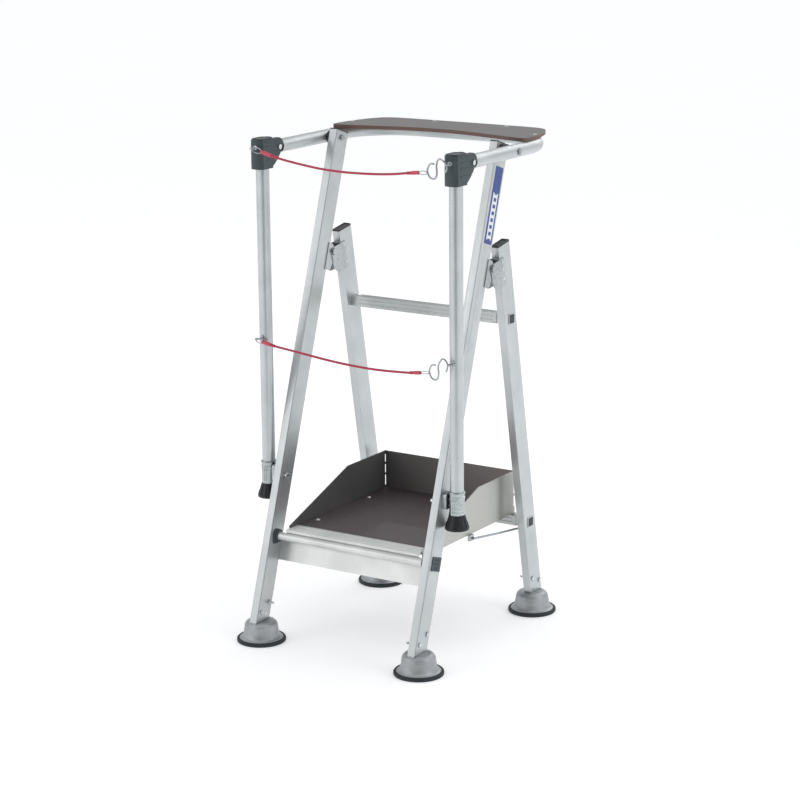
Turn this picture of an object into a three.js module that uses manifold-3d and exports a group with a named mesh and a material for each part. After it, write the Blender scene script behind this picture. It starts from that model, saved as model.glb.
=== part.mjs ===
// Work platform bench: two leaning stiles and two rear legs on round rubber feet, a tread tray
// with toe boards between them, and a U-shaped guard rail with hinged posts, tool shelf and cords.
// Units are mm. +Z is up, -Y is the side the user climbs from, X runs across the bench.
import * as THREE from "three";
import { mergeVertices } from "three/addons/utils/BufferGeometryUtils.js";
import Module from "manifold-3d";

const GAP = 0.3; // clearance between touching pieces
const SHEET = 2.5; // bracket sheet thickness

// Beams: the stiles and legs share one pair of side planes.
const BEAM_IN = 268.6; // inner face of stile and leg, from the middle of the bench
const BEAM_OUT = 293.6; // outer face
const BEAM_DEPTH = 65; // beam section, front to back
const BEAM_WALL = 2;
const BEAM_FOOT_Z = 66; // level cut at the foot
const STILE_LEAN = 18.15; // degrees from vertical, top towards the rear
const STILE_Y = -396.7; // front face of the stile produced down to the floor
const STILE_TOP_Z = 1501;
const LEG_LEAN = -10.3; // top towards the front
const LEG_Y = 315.3;
const LEG_TOP_Z = 1186;

// Feet
const FOOT_X = 281.1;
const FOOT_FRONT_Y = -331.9;
const FOOT_REAR_Y = 332;
const FOOT_CASTING = [
  [0, 59.7], [31, 59.7], [41, 54], [47, 40], [50, 22], [53, 8.5], [66.2, 8.5], [66.2, 11.5], [60, 14],
  [56.5, 18.5], [53, 30], [51.3, 42], [49.8, 52], [46.5, 58.5], [41.5, 62.8], [36, 65], [28, 65.7],
  [0, 65.7],
];
const FOOT_PAD = [
  [0, 0], [73, 0], [74.35, 3], [74.35, 9], [72, 12], [66.5, 12], [66.5, 8.2], [0, 8.2],
];
const SPIGOT_TOP = 125; // foot spigot inside the beam, length along the beam from the floor

// Deck tray, hinged on the pivot tube
const PIVOT = [-259.7, 313.5]; // Y and Z of the pivot tube's axis
const PIVOT_R = 12.5;
const PIVOT_BORE = 10.5;
const PIVOT_END = 261.7;
const DECK_HALF = 234;
const DECK_BOTTOM = 323.8;
const DECK_TOP = 335.8;
const TOE_HALF = 238; // outer face of the side toe boards
const TOE_SHEET = 3;
const TOE_BOTTOM = 319.3;
const TOE_TOP = 454.9;
const TRAY_REAR = 296.8; // outer face of the rear toe board
const TOE_KNEE_Y = 80.3;
const TOE_NOSE = [-237.8, 342.2];

// Rungs and the wire bail behind the lower one
const RUNG_HALF = 16.3; // half the side of the square tube
const RUNG_NECK = 14.6; // half the side where the tube passes through the legs
const RUNG_NECK_X = 252;
const RUNG_LOW = [296.3, 300];
const RUNG_HIGH = [177.3, 961];
const BAIL_R = 3.5;
const BAIL_AXIS = [320.3, 291];
const BAIL_SIDE_X = 253.5;

// Rear frame hinge
const HINGE = [63.3, 1131];
const HINGE_R = 6;

// Guard rail
const TUBE_R = 20;
const TUBE_BORE = 18.2;
const RAIL_X = 333.3;
const RAIL_Z = 1472;
const RAIL_REAR_Y = 384;
const RAIL_BEND = 175;
const RAIL_BOLT_Y = 119;
const BOLT_R = 5;
const SHELF_Z = 1492.4;
const SHELF_TOP = 1503.5;

// Posts
const POST_Y = -201.6;
const POST_TOP = 1489.7;
const POST_BOTTOM = 430.3;
const ELBOW_PIN = [-144.7, 1474]; // Y and Z of the folding pin
const ELBOW_HALF = 22.5; // half the width across the elbow's flat cheeks
const ELBOW_REACH = 27.5; // furthest the elbow comes from its pin, towards the rail
const ELBOW_BOTTOM = 1415;
const ELBOW_TOP = 1501;
const BARREL_R = 33;
const TONGUE_HALF = 9;
const TONGUE_R = 13;
const RAIL_FRONT_Y = ELBOW_PIN[0] + ELBOW_REACH + 0.5;

// Cords, each in one upright plane in front of the posts
const CORD_R = 3.5;
const SLEEVE_R = 5.8;
const HOOK_R = 2.6;

const wasm = await Module();
wasm.setup();

const rad = (degrees) => (degrees * Math.PI) / 180;

// ---- solids ----

function solidOf(geometry) {
  const bare = geometry.clone();
  bare.deleteAttribute("normal");
  bare.deleteAttribute("uv");
  const merged = mergeVertices(bare, 1e-4);
  const index = Array.from(merged.index.array);
  const faces = [];
  for (let i = 0; i < index.length; i += 3) {
    const [a, b, c] = index.slice(i, i + 3);
    if (a !== b && b !== c && a !== c) faces.push(a, b, c);
  }
  return new wasm.Manifold(new wasm.Mesh({
    numProp: 3,
    vertProperties: new Float32Array(merged.attributes.position.array),
    triVerts: new Uint32Array(faces),
  }));
}

const join = (...solids) => solids.reduce((whole, next) => whole.add(next));
const cut = (solid, ...tools) => tools.reduce((whole, tool) => whole.subtract(tool), solid);

// A plate whose outline is given in Y and Z, running across the bench from x0 to x1.
function plate(outline, x0, x1) {
  const shape = new THREE.Shape(outline.map(([y, z]) => new THREE.Vector2(y, z)));
  const geometry = new THREE.ExtrudeGeometry(shape, { depth: x1 - x0, bevelEnabled: false });
  const axes = new THREE.Matrix4().makeBasis(
    new THREE.Vector3(0, 1, 0),
    new THREE.Vector3(0, 0, 1),
    new THREE.Vector3(1, 0, 0),
  );
  geometry.applyMatrix4(axes);
  geometry.translate(x0, 0, 0);
  return solidOf(geometry);
}

function block(x0, x1, y0, y1, z0, z1) {
  return plate([[y0, z0], [y1, z0], [y1, z1], [y0, z1]], x0, x1);
}

// A level plate whose outline is given in X and Y.
function board(outline, z0, z1) {
  const shape = new THREE.Shape(outline.map(([x, y]) => new THREE.Vector2(x, y)));
  const geometry = new THREE.ExtrudeGeometry(shape, { depth: z1 - z0, bevelEnabled: false });
  geometry.translate(0, 0, z0);
  return solidOf(geometry);
}

// A round bar across the bench.
function crossBar([y, z], radius, x0, x1, sides = 24) {
  const geometry = new THREE.CylinderGeometry(radius, radius, x1 - x0, sides);
  geometry.rotateZ(-Math.PI / 2);
  geometry.translate((x0 + x1) / 2, y, z);
  return solidOf(geometry);
}

// A turned piece on an upright axis, from a closed or axis-to-axis profile of [radius, height].
function turned(profile, x, y, sides = 32) {
  const points = profile.map(([r, z]) => new THREE.Vector2(r, z));
  const geometry = new THREE.LatheGeometry(points, sides);
  geometry.rotateX(Math.PI / 2);
  geometry.translate(x, y, 0);
  return solidOf(geometry);
}

function upright(x, y, radius, z0, z1, sides = 24) {
  return turned([[0, z0], [radius, z0], [radius, z1], [0, z1]], x, y, sides);
}

function ringUpright(x, y, inner, outer, z0, z1, sides = 24) {
  return turned([[inner, z0], [outer, z0], [outer, z1], [inner, z1], [inner, z0]], x, y, sides);
}

// A path whose steps fall exactly on its knots, so a bend keeps the shape it was given.
class KnotPath extends THREE.Curve {
  constructor(knots) {
    super();
    this.knots = knots;
  }

  getUtoTmapping(u) {
    return u;
  }

  getPoint(t) {
    const place = t * (this.knots.length - 1);
    const index = Math.min(Math.floor(place), this.knots.length - 2);
    return this.knots[index].clone().lerp(this.knots[index + 1], place - index);
  }
}

function sweep(knots, radius, sides, bore = 0) {
  const section = new THREE.Shape();
  section.absarc(0, 0, radius, 0, 2 * Math.PI, false);
  if (bore > 0) {
    const hollow = new THREE.Path();
    hollow.absarc(0, 0, bore, 0, 2 * Math.PI, true);
    section.holes.push(hollow);
  }
  const path = new KnotPath(knots.map(([x, y, z]) => new THREE.Vector3(x, y, z)));
  const geometry = new THREE.ExtrudeGeometry(section, {
    steps: knots.length - 1,
    curveSegments: sides / 2,
    bevelEnabled: false,
    extrudePath: path,
  });
  return solidOf(geometry);
}

// Points of an arc in a plane, from one angle to another in degrees.
function arc(centre, radius, from, to, steps) {
  const points = [];
  for (let i = 0; i <= steps; i += 1) {
    const angle = rad(from + ((to - from) * i) / steps);
    points.push([centre[0] + radius * Math.cos(angle), centre[1] + radius * Math.sin(angle)]);
  }
  return points;
}

// ---- leaning beams ----

// Maps a length up the beam and a depth behind its front face to Y and Z.
function leaning(footY, lean) {
  const sin = Math.sin(rad(lean));
  const cos = Math.cos(rad(lean));
  const at = (along, depth) => [footY + along * sin + depth * cos, along * cos - depth * sin];
  const level = (z, depth) => at((z + depth * sin) / cos, depth);
  const along = (y, z) => (y - footY) * sin + z * cos;
  return { at, level, along, cos };
}

const STILE = leaning(STILE_Y, STILE_LEAN);
const LEG = leaning(LEG_Y, LEG_LEAN);
const STILE_LENGTH = STILE_TOP_Z / STILE.cos;
const LEG_LENGTH = LEG_TOP_Z / LEG.cos;

function beamPlate(beam, along0, along1, depth0, depth1, x0, x1) {
  const outline = [
    beam.at(along0, depth0), beam.at(along0, depth1), beam.at(along1, depth1), beam.at(along1, depth0),
  ];
  return plate(outline, x0, x1);
}

function hollowBeam(beam, length) {
  const outline = [
    beam.level(BEAM_FOOT_Z, 0), beam.level(BEAM_FOOT_Z, BEAM_DEPTH),
    beam.at(length, BEAM_DEPTH), beam.at(length, 0),
  ];
  const inside = [BEAM_WALL, BEAM_DEPTH - BEAM_WALL, BEAM_IN + BEAM_WALL, BEAM_OUT - BEAM_WALL];
  return cut(plate(outline, BEAM_IN, BEAM_OUT), beamPlate(beam, 20, length + 20, ...inside));
}

// A cap over the top of a beam, with a plug inside it and a raised border round its top.
function beamCap(beam, length, height, border) {
  const low = BEAM_WALL + GAP;
  const rim = 4;
  const top = length + height;
  const lid = beamPlate(beam, length + GAP, top, 0, BEAM_DEPTH, BEAM_IN, BEAM_OUT);
  const plug = beamPlate(
    beam, length - 10, length + 1, low, BEAM_DEPTH - low, BEAM_IN + low, BEAM_OUT - low,
  );
  const recess = beamPlate(
    beam, top - border, top + 1, rim, BEAM_DEPTH - rim, BEAM_IN + rim, BEAM_OUT - rim,
  );
  return cut(join(lid, plug), recess);
}

// Bell casting with a leaning spigot that fills the foot of the beam.
function foot(beam, y) {
  const low = BEAM_WALL + GAP;
  const bell = turned(FOOT_CASTING, FOOT_X, y);
  const spigot = plate([
    beam.level(62.5, low), beam.level(62.5, BEAM_DEPTH - low),
    beam.at(SPIGOT_TOP, BEAM_DEPTH - low), beam.at(SPIGOT_TOP, low),
  ], BEAM_IN + low, BEAM_OUT - low);
  return join(bell, spigot);
}

// ---- materials ----

const finish = (color, roughness, metalness) => (
  new THREE.MeshStandardMaterial({ color, roughness, metalness })
);
const ALUMINIUM = finish(0xc9cccc, 0.4, 1);
const TUBE = finish(0xc0c4c6, 0.35, 1);
const ZINC = finish(0xb4b7ba, 0.35, 1);
const CAST = finish(0x96999c, 0.6, 1);
const SLATE = finish(0x4b5558, 0.6, 0);
const BLACK = finish(0x1c1e20, 0.6, 0);
const RUBBER = finish(0x2d373c, 0.8, 0);
const TREAD = finish(0x5a4e4e, 0.75, 0);
const TIMBER = finish(0x918c8a, 0.7, 0);
const CORD_RED = finish(0xc82846, 0.5, 0);

const bench = new THREE.Group();
bench.name = "work_platform_bench";

function add(name, solid, material) {
  const mesh = solid.getMesh();
  const geometry = new THREE.BufferGeometry();
  geometry.setAttribute("position", new THREE.BufferAttribute(mesh.vertProperties, 3));
  geometry.setIndex(new THREE.BufferAttribute(mesh.triVerts, 1));
  geometry.computeVertexNormals();
  const node = new THREE.Mesh(geometry, material);
  node.name = name;
  bench.add(node);
}

// Adds a right-hand piece and its mirror image on the left.
function addPair(name, solid, material) {
  add(`${name}_right`, solid, material);
  add(`${name}_left`, solid.mirror([1, 0, 0]), material);
}

// ---- front frame ----

const PLUG = [-254.7, 313.5]; // middle of the pivot plug on the stile
const POST_BOLT = [-217.7, 492]; // post bracket's bolt through the stile
const RAIL_BOLT = [RAIL_BOLT_Y, RAIL_Z];
const plugAlong = STILE.along(...PLUG);
const plugDepth = (PLUG[0] - STILE_Y - plugAlong * Math.sin(rad(STILE_LEAN))) / STILE.cos;

function plugBlock(halfAlong, halfDepth, x0, x1) {
  return beamPlate(
    STILE, plugAlong - halfAlong, plugAlong + halfAlong,
    plugDepth - halfDepth, plugDepth + halfDepth, x0, x1,
  );
}

const stile = cut(
  hollowBeam(STILE, STILE_LENGTH),
  plugBlock(16.3, 18.3, BEAM_IN - 5, BEAM_OUT + 5),
  crossBar(RAIL_BOLT, BOLT_R + GAP, BEAM_IN - 5, BEAM_OUT + 5),
  crossBar(POST_BOLT, 4 + GAP, BEAM_IN - 5, BEAM_OUT + 5),
);
addPair("stile", stile, ALUMINIUM);
addPair("stile_cap", beamCap(STILE, STILE_LENGTH, 3, 1), BLACK);

// Shallow channel across the rear faces of the stiles, below the deck.
const barLow = 268.7;
const barHigh = 326.7;
const barBack = BEAM_DEPTH + GAP;
const barLip = barBack + 8;
const barEnd = 287;
const crossbar = join(
  beamPlate(STILE, barLow, barHigh, barBack, barBack + 3, -barEnd, barEnd),
  beamPlate(STILE, barLow, barLow + 3, barBack, barLip, -barEnd, barEnd),
  beamPlate(STILE, barHigh - 3, barHigh, barBack, barLip, -barEnd, barEnd),
);
add("front_crossbar", crossbar, ALUMINIUM);

const pivotTube = cut(
  crossBar(PIVOT, PIVOT_R, -PIVOT_END, PIVOT_END, 28),
  crossBar(PIVOT, PIVOT_BORE, -PIVOT_END - 5, PIVOT_END + 5, 28),
);
add("pivot_tube", pivotTube, TUBE);

// Moulded plug through the stile that carries the end of the pivot tube.
const bushOutline = [
  [PIVOT[0] - 19, PIVOT[1] - 21], [PIVOT[0] + 19, PIVOT[1] - 21],
  ...arc([PIVOT[0], PIVOT[1] + 2], 19, 0, 180, 12),
];
const pivotPlug = cut(
  join(
    plugBlock(21, 23.5, BEAM_OUT + GAP, BEAM_OUT + 2.5),
    plugBlock(16, 18, BEAM_IN - 2, BEAM_OUT + 1),
    plate(bushOutline, PIVOT_END + GAP, BEAM_IN - GAP),
    crossBar(PIVOT, 16.5, 256, PIVOT_END + 1, 28),
  ),
  crossBar(PIVOT, PIVOT_R + GAP, 250, PIVOT_END + GAP, 28),
);
addPair("pivot_plug", pivotPlug, SLATE);

addPair("foot_front", foot(STILE, FOOT_FRONT_Y), CAST);
addPair("pad_front", turned(FOOT_PAD, FOOT_X, FOOT_FRONT_Y), RUBBER);

// Hinge bracket wrapped round the rear face of the stile.
const hingeAlong = STILE.along(...HINGE);
const hingeTurn = (angle) => -STILE_LEAN + angle;
const eyeRound = 13;
const roundLow = STILE.at(hingeAlong - 46, 72);
const frontCheek = [
  STILE.at(hingeAlong - 59, 55),
  ...arc(roundLow, eyeRound, hingeTurn(-90), hingeTurn(-18), 4),
  ...arc(HINGE, eyeRound, hingeTurn(-18), hingeTurn(60), 5),
  STILE.at(hingeAlong + 23, 72),
  STILE.at(hingeAlong + 23, 55),
];
const cheekIn = [BEAM_IN - GAP - SHEET, BEAM_IN - GAP];
const cheekOut = [BEAM_OUT + GAP, BEAM_OUT + GAP + SHEET];
const pinHole = crossBar(HINGE, HINGE_R + GAP, 250, 310);
const frontBracket = cut(
  join(
    plate(frontCheek, ...cheekIn),
    plate(frontCheek, ...cheekOut),
    beamPlate(
      STILE, hingeAlong - 59, hingeAlong + 23, barBack, barBack + SHEET, cheekIn[0], cheekOut[1],
    ),
  ),
  pinHole,
);
addPair("hinge_bracket_front", frontBracket, ZINC);

const earIn = [cheekIn[0] - GAP - SHEET, cheekIn[0] - GAP];
const earOut = [cheekOut[1] + GAP, cheekOut[1] + GAP + SHEET];
const hingePin = join(
  crossBar(HINGE, HINGE_R, earIn[0] - 2, earOut[1] + 2),
  crossBar(HINGE, 11, earIn[0] - GAP - 4, earIn[0] - GAP),
  crossBar(HINGE, 11, earOut[1] + GAP, earOut[1] + GAP + 4),
);
addPair("hinge_pin", hingePin, ZINC);

// Bracket on the stile that the foot of the post hooks over.
const bracketOutline = [
  [POST_Y - 20, 472], [POST_Y + 20, 472], [POST_Y + 20, 508],
  ...arc([POST_Y + 8, 508], 12, 0, 90, 4), ...arc([POST_Y - 8, 508], 12, 90, 180, 4),
];
const postBracket = join(
  plate(bracketOutline, BEAM_OUT + GAP, RAIL_X - 24.2),
  crossBar(POST_BOLT, 4, BEAM_IN - 6, BEAM_OUT + 2, 16),
  crossBar(POST_BOLT, 8, BEAM_IN - 6, BEAM_IN - GAP, 6),
);
addPair("post_bracket", postBracket, ZINC);

const railBolt = join(
  crossBar(RAIL_BOLT, BOLT_R, BEAM_IN - 2, RAIL_X + TUBE_R + 2),
  crossBar(RAIL_BOLT, 9, BEAM_IN - 6, BEAM_IN - GAP, 6),
  crossBar(RAIL_BOLT, 9, RAIL_X + TUBE_R + GAP, RAIL_X + TUBE_R + 3.3, 6),
);
addPair("rail_bolt", railBolt, ZINC);

// ---- rear frame ----

function rungWindow([y, z]) {
  const half = RUNG_NECK + GAP;
  return block(BEAM_IN - 5, BEAM_OUT + 5, y - half, y + half, z - half, z + half);
}

const bailHole = crossBar(BAIL_AXIS, BAIL_R + 0.5, BEAM_IN - 5, BEAM_IN + BEAM_WALL + 3, 16);
const leg = cut(
  hollowBeam(LEG, LEG_LENGTH), rungWindow(RUNG_LOW), rungWindow(RUNG_HIGH), bailHole,
);
addPair("rear_leg", leg, ALUMINIUM);
addPair("leg_cap", beamCap(LEG, LEG_LENGTH, 6, 2), BLACK);

// Square tube, necked down to pass through the legs and flared against their outer faces.
// Its ends are plugged; a drain hole underneath opens the inside.
function rung([y, z]) {
  const square = (half, x0, x1) => block(x0, x1, y - half, y + half, z - half, z + half);
  const end = BEAM_OUT + 2.3;
  const wall = 2;
  return cut(
    join(
      square(RUNG_NECK, -end, end),
      square(RUNG_HALF, -RUNG_NECK_X, RUNG_NECK_X),
      square(RUNG_NECK + 1.5, BEAM_OUT + GAP, end),
      square(RUNG_NECK + 1.5, -end, -BEAM_OUT - GAP),
    ),
    square(RUNG_NECK - wall, wall - end, end - wall),
    upright(0, y, 3, z - RUNG_HALF - 1, z, 12),
  );
}

add("rung_lower", rung(RUNG_LOW), ALUMINIUM);
add("rung_upper", rung(RUNG_HIGH), ALUMINIUM);

// Bracket on the front of the leg, joggled out to straddle the bracket on the stile.
const legAlong = LEG.along(...HINGE);
const legTurn = (angle) => -LEG_LEAN + angle;
const earRound = LEG.at(legAlong - 35, -18);
const ear = [
  LEG.at(legAlong - 73, -4),
  ...arc(earRound, 38, legTurn(270), legTurn(200), 7),
  ...arc(HINGE, eyeRound, legTurn(190), legTurn(90), 6),
  LEG.at(legAlong + eyeRound, -4),
];
const legPlate = (depth0, depth1, x0, x1) => (
  beamPlate(LEG, legAlong - 73, legAlong + eyeRound, depth0, depth1, x0, x1)
);
const rearBracket = cut(
  join(
    legPlate(-8, 22, ...cheekIn),
    legPlate(-8, 22, ...cheekOut),
    legPlate(-8, -4, earIn[0], cheekIn[1]),
    legPlate(-8, -4, cheekOut[0], earOut[1]),
    plate(ear, ...earIn),
    plate(ear, ...earOut),
    legPlate(-GAP - SHEET, -GAP, cheekIn[0], cheekOut[1]),
  ),
  pinHole,
);
addPair("hinge_bracket_rear", rearBracket, ZINC);
addPair("foot_rear", foot(LEG, FOOT_REAR_Y), CAST);
addPair("pad_rear", turned(FOOT_PAD, FOOT_X, FOOT_REAR_Y), RUBBER);

// Wire bail behind the lower rung, its side rods running forward along the tray.
const bailSide = [
  [24.3, 311], [160, 290.5], [302, 271.7], [308, 271.8], [313.5, 273.7], [317.5, 277.5], [319.6, 283],
  BAIL_AXIS,
];
const bailRods = [-1, 1].map((side) => (
  sweep(bailSide.map(([y, z]) => [side * BAIL_SIDE_X, y, z]), BAIL_R, 12)
));
add("lock_bail", join(crossBar(BAIL_AXIS, BAIL_R, -270, 270, 16), ...bailRods), ZINC);

// ---- deck tray ----

const panelFront = -197.7;
const panelRear = TRAY_REAR - TOE_SHEET - 0.5;
add("deck_panel", block(-DECK_HALF, DECK_HALF, panelFront, panelRear, DECK_BOTTOM, DECK_TOP), TREAD);

// Nosing that hooks over the pivot tube and carries the front edge of the panel.
const nosing = join(
  plate([
    ...arc(PIVOT, PIVOT_R + 3.6, -70, 80, 12), ...arc(PIVOT, PIVOT_R + 0.6, 80, -70, 12),
  ], -DECK_HALF, DECK_HALF),
  block(-DECK_HALF, DECK_HALF, PIVOT[0], panelFront - GAP, 329, 336),
  block(-DECK_HALF, DECK_HALF, panelFront - 3, panelFront - GAP, 320.5, 330),
  block(-214.7, 214.7, panelFront - 3, -155.7, 320.5, 323.5),
);
add("deck_nosing", nosing, ALUMINIUM);

const sideOutline = [
  [TOE_NOSE[0], TOE_BOTTOM], [TRAY_REAR, TOE_BOTTOM], [TRAY_REAR, TOE_TOP],
  [TOE_KNEE_Y, TOE_TOP], TOE_NOSE,
];
const toeInner = TOE_HALF - TOE_SHEET;
const notchHeights = [[417, 443], [382, 410], [341, 375]];
const notches = notchHeights.map(([low, high]) => (
  block(toeInner - 5, TOE_HALF + 5, TRAY_REAR - 6, TRAY_REAR + 5, low, high)
));
const toeBoard = join(
  cut(plate(sideOutline, toeInner, TOE_HALF), ...notches),
  block(toeInner - 20, toeInner + 1, -155, TRAY_REAR - TOE_SHEET - GAP, 320.5, 323.5),
);
addPair("toe_board", toeBoard, ALUMINIUM);

const rearHalf = toeInner - GAP;
const rearBoard = block(-rearHalf, rearHalf, TRAY_REAR - TOE_SHEET, TRAY_REAR, TOE_BOTTOM, TOE_TOP);
add("toe_board_rear", rearBoard, ALUMINIUM);
addPair("bail_clip", block(TOE_HALF + GAP, 249, 14.3, 34.3, 303, 322), ZINC);

// ---- guard rail ----

const cornerX = RAIL_X - RAIL_BEND;
const cornerY = RAIL_REAR_Y - RAIL_BEND;
const railPlan = [
  [-RAIL_X, RAIL_FRONT_Y],
  ...arc([-cornerX, cornerY], RAIL_BEND, 180, 90, 12),
  ...arc([cornerX, cornerY], RAIL_BEND, 90, 0, 12),
  [RAIL_X, RAIL_FRONT_Y],
];
const rail = sweep(railPlan.map(([x, y]) => [x, y, RAIL_Z]), TUBE_R, 20, TUBE_BORE);
const railHoles = [-1, 1].map((side) => {
  const ends = [side * (RAIL_X - 30), side * (RAIL_X + 30)].sort((a, b) => a - b);
  return crossBar(RAIL_BOLT, BOLT_R + GAP, ...ends);
});
add("guard_rail", cut(rail, ...railHoles), TUBE);

const spacer = cut(
  crossBar(RAIL_BOLT, 19, BEAM_OUT + GAP, RAIL_X - TUBE_R - GAP),
  crossBar(RAIL_BOLT, BOLT_R + GAP, BEAM_OUT - 5, RAIL_X),
);
addPair("rail_spacer", spacer, BLACK);

// Tongue plugged into the front end of the rail; the elbow turns on it.
const tongueOutline = [
  ...arc(ELBOW_PIN, TONGUE_R, 90, 270, 12),
  [RAIL_FRONT_Y + 5, ELBOW_PIN[1] - TONGUE_R], [RAIL_FRONT_Y + 5, ELBOW_PIN[1] + TONGUE_R],
];
const plugGeometry = new THREE.CylinderGeometry(TUBE_BORE - GAP, TUBE_BORE - GAP, 40, 24);
plugGeometry.translate(RAIL_X, RAIL_FRONT_Y + 20.5, RAIL_Z);
const railEnd = cut(
  join(
    plate(tongueOutline, RAIL_X - TONGUE_HALF, RAIL_X + TONGUE_HALF),
    solidOf(plugGeometry),
  ),
  crossBar(ELBOW_PIN, BOLT_R + GAP, RAIL_X - 30, RAIL_X + 30),
);
addPair("rail_end", railEnd, BLACK);

// Tool shelf over the rear of the rail, hollowed towards the user.
const shelfHalf = [
  [60, 230], [110, 222], [155, 213], [200, 202], [245, 191], [290, 180], [322, 173], [335, 174],
  [340, 183], [341, 205], [338, 240], [332, 276], [325, 304], [317, 330], [308, 353], [298, 371],
  [284, 387], [254, 399], [200, 403],
];
const shelfOutline = [
  [0, 233], ...shelfHalf, [0, 404], ...shelfHalf.map(([x, y]) => [-x, y]).reverse(),
];
add("tool_shelf", board(shelfOutline, SHELF_Z, SHELF_TOP), TIMBER);

// ---- posts ----

// Elbow: a barrel with flat cheeks on the post and a rounded web behind it, slotted for the
// rail's tongue. The web's outline is given in Y and Z from the pin.
const webFromPin = [
  [-60, ELBOW_BOTTOM - ELBOW_PIN[1]], [-48, -58.8], [-39, -56.4], [-29, -51.2], [-19, -43.8],
  [-9.5, -35], [-1, -25.8], [8, -14.6], [15.2, -3.8], [19.6, 4.4], [20.4, 9], [19, 14],
  [14.5, 20], [8, 24.6],
  [1, ELBOW_REACH], [-60, ELBOW_REACH],
];
const webOutline = webFromPin.map(([y, z]) => [ELBOW_PIN[0] + y, ELBOW_PIN[1] + z]);
const flatBarrel = (radius, half, z0, z1) => (
  upright(RAIL_X, POST_Y, radius, z0, z1, 40)
    .intersect(block(RAIL_X - half, RAIL_X + half, POST_Y - 50, POST_Y + 50, z0 - 1, z1 + 1))
);
const slotFloor = TONGUE_R + GAP;
const elbow = cut(
  join(
    flatBarrel(BARREL_R, ELBOW_HALF, ELBOW_BOTTOM, ELBOW_TOP),
    cut(
      flatBarrel(30, ELBOW_HALF - 1.5, ELBOW_TOP - 1, ELBOW_TOP + 4),
      flatBarrel(26, ELBOW_HALF - 5, ELBOW_TOP, ELBOW_TOP + 5),
    ),
    plate(webOutline, RAIL_X - ELBOW_HALF, RAIL_X + ELBOW_HALF),
  ),
  block(
    RAIL_X - TONGUE_HALF - GAP, RAIL_X + TONGUE_HALF + GAP,
    ELBOW_PIN[0] - slotFloor, ELBOW_PIN[0] + 60, ELBOW_PIN[1] - slotFloor, ELBOW_TOP + 20,
  ),
  crossBar(ELBOW_PIN, BOLT_R + GAP, RAIL_X - 40, RAIL_X + 40),
  upright(RAIL_X, POST_Y, TUBE_R + GAP, ELBOW_BOTTOM - 10, POST_TOP + GAP),
);
addPair("elbow", elbow, SLATE);

const elbowPin = join(
  crossBar(ELBOW_PIN, BOLT_R, RAIL_X - ELBOW_HALF - 2, RAIL_X + ELBOW_HALF + 2),
  crossBar(ELBOW_PIN, 8, RAIL_X - ELBOW_HALF - 4, RAIL_X - ELBOW_HALF - GAP, 6),
  crossBar(ELBOW_PIN, 8, RAIL_X + ELBOW_HALF + GAP, RAIL_X + ELBOW_HALF + 4, 6),
);
addPair("elbow_pin", elbowPin, ZINC);

addPair("post", ringUpright(RAIL_X, POST_Y, TUBE_BORE, TUBE_R, POST_BOTTOM, POST_TOP), TUBE);
addPair("post_collar", ringUpright(RAIL_X, POST_Y, TUBE_R + GAP, 22.5, 457.3, 526, 28), ZINC);
const postTip = [
  [0, 412.5], [34, 412.5], [36, 416.5], [34.5, 424], [28, 442], [23.5, 457],
  [TUBE_R + GAP, 457], [TUBE_R + GAP, 430], [0, 430],
];
addPair("post_tip", turned(postTip, RAIL_X, POST_Y), RUBBER);

// ---- cords ----

const UPPER_Y = -247.7;
const LOWER_Y = -233.7;
const inPlane = (points, y) => points.map(([x, z]) => [x, y, z]);

// Cord with a crimped sleeve at each end.
function cord(points, y) {
  const knots = inPlane(points, y);
  const sleeves = [knots.slice(0, 2), knots.slice(-2)];
  return join(sweep(knots, CORD_R, 8), ...sleeves.map((ends) => sweep(ends, SLEEVE_R, 12)));
}

// Open S of wire: a wide bow round the cord's end and a small one up to the post.
function sHook(points, y) {
  const path = new THREE.CatmullRomCurve3(points.map(([x, z]) => new THREE.Vector3(x, y, z)));
  return sweep(path.getPoints(36).map((knot) => knot.toArray()), HOOK_R, 8);
}

const upper = [
  [-303, 1471.4], [-243.2, 1457], [-165.6, 1445], [-95.8, 1437], [-40, 1433.8],
  [7.8, 1433.1], [60, 1434], [109.9, 1436.3], [160, 1440.5], [200.5, 1446], [240, 1450.3],
];
const lower = [
  [-325, 899], [-278.6, 891.5], [-224.3, 885.5], [-116.8, 873.8], [-60, 868.5],
  [-10.9, 865.2], [45, 863], [93.5, 862.9], [150, 864.8], [196.3, 867.6], [233, 872],
];
add("cord_upper", cord(upper, UPPER_Y), CORD_RED);
add("cord_lower", cord(lower, LOWER_Y), CORD_RED);

const upperHook = [
  [290, 1478], [277, 1477], [268, 1458], [276, 1440], [292, 1437], [299, 1450], [298, 1475],
  [303, 1490], [311, 1493], [322, 1487], [330, 1477], [331, 1466], [327, 1457],
];
const lowerHook = [
  [284, 900], [271, 899], [262, 881], [270, 861], [286, 858], [293, 872], [292, 898],
  [300, 915], [308, 921], [317, 916], [323, 906], [322, 894], [318, 884],
];
add("s_hook_upper", sHook(upperHook, UPPER_Y), ZINC);
add("s_hook_lower", sHook(lowerHook, LOWER_Y), ZINC);

export default bench;
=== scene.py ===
import math

import bpy
from mathutils import Matrix, Vector


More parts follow.
